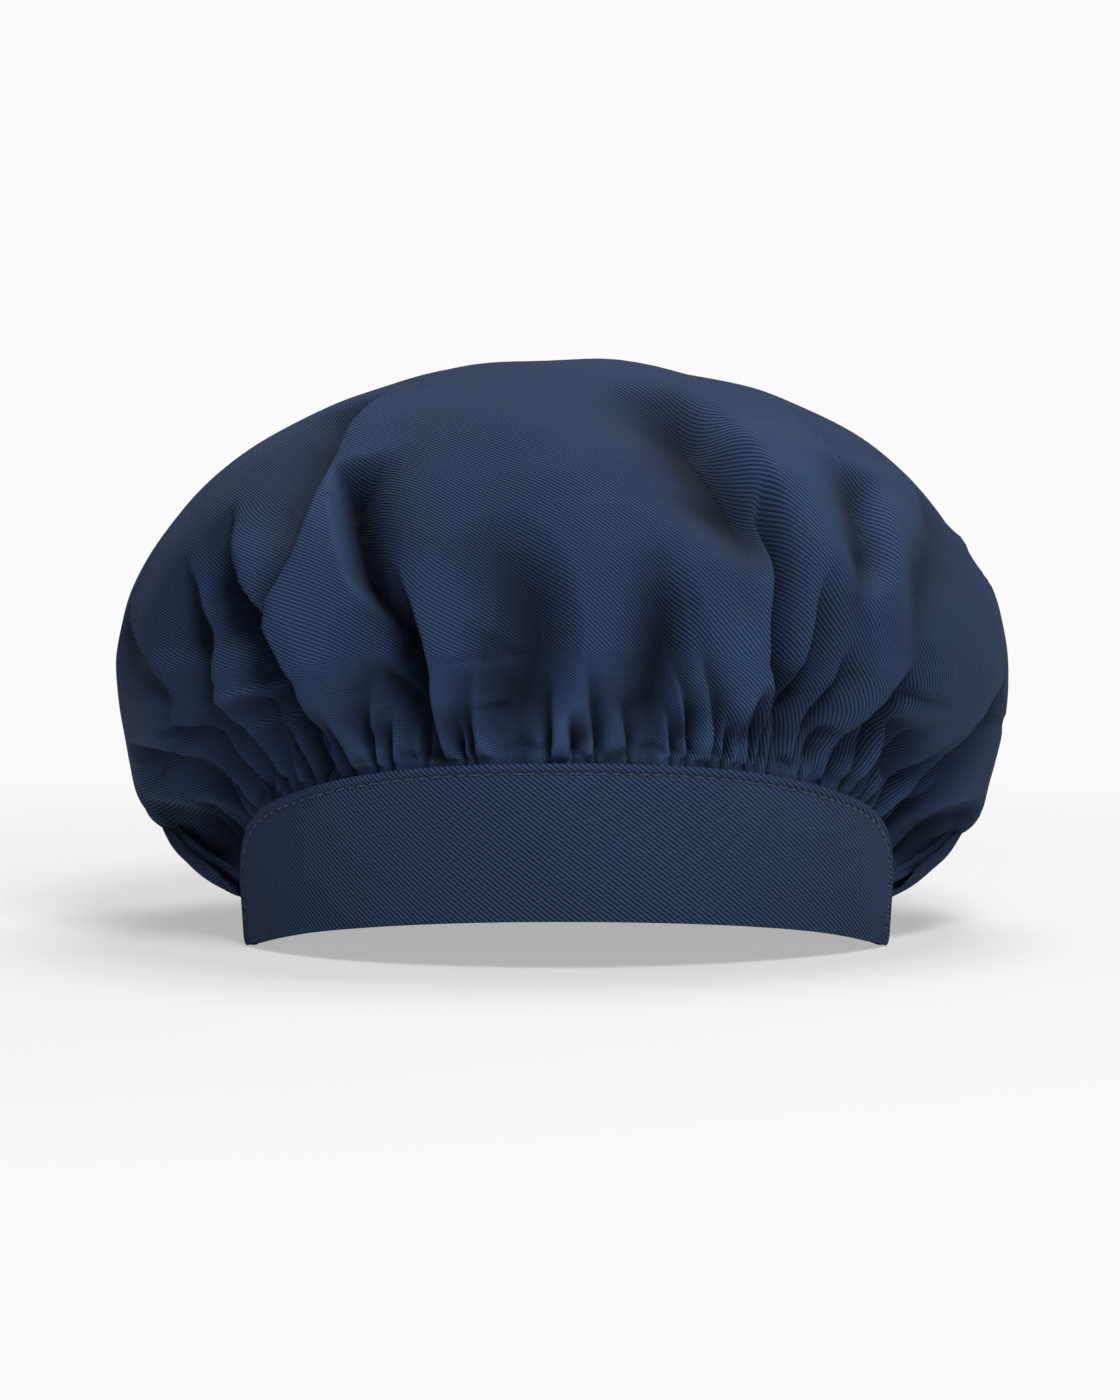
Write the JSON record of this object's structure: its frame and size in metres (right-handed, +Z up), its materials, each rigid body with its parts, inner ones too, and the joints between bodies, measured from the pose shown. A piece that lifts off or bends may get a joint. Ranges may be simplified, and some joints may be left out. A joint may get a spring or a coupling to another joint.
{
  "type": "bouffant work cap",
  "caption": "Full gathered bouffant work cap with a stiff curved front band, an arched lower edge and an elastic hem round the back.",
  "frame": {"origin": "middle of the cap's own box, on the surface that it stands on", "axes": "+Z up, the front band faces -Y, +X is to the right as seen from the front"},
  "size_m": [0.2506, 0.246, 0.1598],
  "materials": {
    "band_twill": "navy cotton twill, interlined and pressed smooth, topstitched along its upper edge",
    "crown_twill": "soft navy cotton twill, matt with a faint cotton bloom on the ridges",
    "hem_twill": "navy cotton twill casing, gathered over elastic"
  },
  "bodies": {
    "root": {"front_band": "band_twill", "crown": "crown_twill", "elastic_hem": "hem_twill"}
  },
  "joints": []
}
